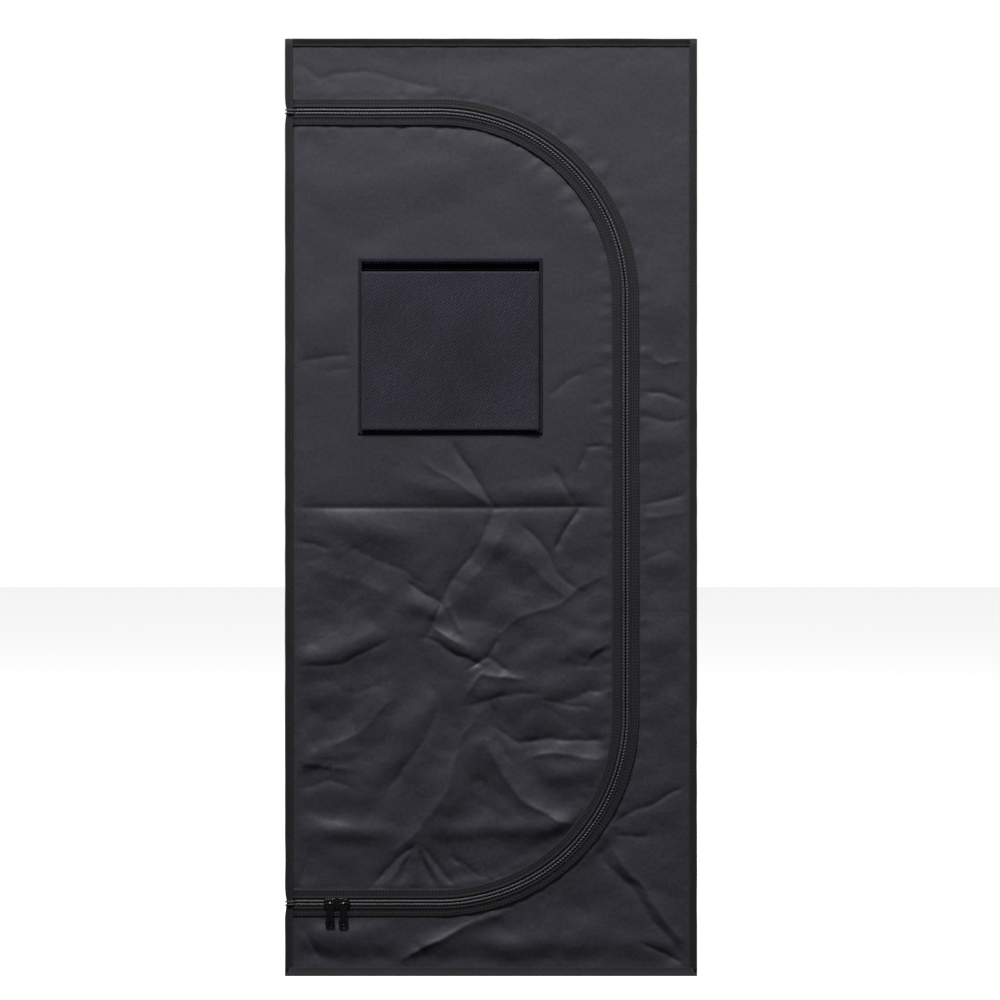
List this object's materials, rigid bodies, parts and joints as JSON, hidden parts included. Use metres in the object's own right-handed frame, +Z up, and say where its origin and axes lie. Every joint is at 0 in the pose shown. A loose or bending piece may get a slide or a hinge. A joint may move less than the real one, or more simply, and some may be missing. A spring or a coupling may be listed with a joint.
{
  "type": "portable steam sauna",
  "caption": "Full-height cloth steam cabin on a push-together tube frame, with a zipped D-shaped door and a window with a privacy flap.",
  "frame": {"origin": "on the floor, under the middle of the cabin", "axes": "+X to the right and +Y to the back as seen by someone facing the door, +Z up"},
  "size_m": [0.7976, 0.7976, 1.8128],
  "materials": {
    "oxford_cloth": "padded Oxford weave, matt",
    "binding_tape": "folded woven tape, matt",
    "woven_tape": "woven tape, matt",
    "zip_coil": "moulded nylon coil, satin",
    "lining_film": "silver coated film, satin",
    "flap_twill": "twill weave, matt",
    "band_tape": "black tape, matt",
    "clear_vinyl": "clear film, glossy",
    "black_enamel": "black enamel on a zinc casting, glossy",
    "coated_tube": "light grey extruded PVC pipe, satin",
    "connector_plastic": "moulded ABS, satin",
    "port_plastic": "moulded ABS, satin"
  },
  "bodies": {
    "cabin": {"back_binding": "binding_tape", "back_lining": "lining_film", "back_wall": "oxford_cloth", "bottom_connector_back_left": "connector_plastic", "bottom_connector_back_right": "connector_plastic", "bottom_connector_front_left": "connector_plastic", "bottom_connector_front_right": "connector_plastic", "bottom_tube_back": "coated_tube", "bottom_tube_front": "coated_tube", "bottom_tube_left": "coated_tube", "bottom_tube_right": "coated_tube", "floor_lining": "lining_film", "floor_panel": "oxford_cloth", "front_binding": "binding_tape", "front_lining": "lining_film", "front_wall": "oxford_cloth", "left_lining": "lining_film", "left_wall": "oxford_cloth", "lower_upright_back_left": "coated_tube", "lower_upright_back_right": "coated_tube", "lower_upright_front_left": "coated_tube", "lower_upright_front_right": "coated_tube", "right_lining": "lining_film", "right_wall": "oxford_cloth", "roof_lining": "lining_film", "roof_panel": "oxford_cloth", "side_binding": "binding_tape", "steam_port_bush": "port_plastic", "steam_port_ring": "port_plastic", "top_connector_back_left": "connector_plastic", "top_connector_back_right": "connector_plastic", "top_connector_front_left": "connector_plastic", "top_connector_front_right": "connector_plastic", "top_tube_back": "coated_tube", "top_tube_front": "coated_tube", "top_tube_left": "coated_tube", "top_tube_right": "coated_tube", "upper_upright_back_left": "coated_tube", "upper_upright_back_right": "coated_tube", "upper_upright_front_left": "coated_tube", "upper_upright_front_right": "coated_tube", "upright_couplers": "connector_plastic", "wall_zip_coil": "zip_coil", "wall_zip_tape": "woven_tape"},
    "door": {"door_panel": "oxford_cloth", "door_lining": "lining_film", "door_zip_tape": "woven_tape", "door_zip_coil": "zip_coil", "window_frame": "woven_tape", "window_pane": "clear_vinyl", "flap_band": "band_tape"},
    "flap": {"window_flap": "flap_twill"},
    "left_slider": {"left_slider": "black_enamel"},
    "right_slider": {"right_slider": "black_enamel"},
    "left_outer_pull": {"left_outer_pull": "black_enamel"},
    "left_inner_pull": {"left_inner_pull": "black_enamel"},
    "right_outer_pull": {"right_outer_pull": "black_enamel"},
    "right_inner_pull": {"right_inner_pull": "black_enamel"}
  },
  "joints": [
    {"name": "door_swing", "type": "hinge", "parent": "cabin", "child": "door", "pos_m": [-0.386, -0.3912, 0.9055], "axis": [0, 0, -1], "range_deg": [0, 120]},
    {"name": "flap_lift", "type": "hinge", "parent": "door", "child": "flap", "pos_m": [-0.0786, -0.3924, 1.3622], "axis": [-1, 0, 0], "range_deg": [0, 170]},
    {"name": "left_slide", "type": "slide", "parent": "cabin", "child": "left_slider", "axis": [-1, 0, 0], "range_m": [0, 0.036]},
    {"name": "right_slide", "type": "slide", "parent": "cabin", "child": "right_slider", "axis": [1, 0, 0], "range_m": [0, 0.14]},
    {"name": "left_outer_pull_swing", "type": "hinge", "parent": "left_slider", "child": "left_outer_pull", "pos_m": [-0.311, -0.3957, 0.14], "axis": [-1, 0, 0], "range_deg": [0, 170]},
    {"name": "left_inner_pull_swing", "type": "hinge", "parent": "left_slider", "child": "left_inner_pull", "pos_m": [-0.311, -0.3831, 0.14], "axis": [1, 0, 0], "range_deg": [0, 170]},
    {"name": "right_outer_pull_swing", "type": "hinge", "parent": "right_slider", "child": "right_outer_pull", "pos_m": [-0.285, -0.3957, 0.14], "axis": [-1, 0, 0], "range_deg": [0, 170]},
    {"name": "right_inner_pull_swing", "type": "hinge", "parent": "right_slider", "child": "right_inner_pull", "pos_m": [-0.285, -0.3831, 0.14], "axis": [1, 0, 0], "range_deg": [0, 170]}
  ]
}
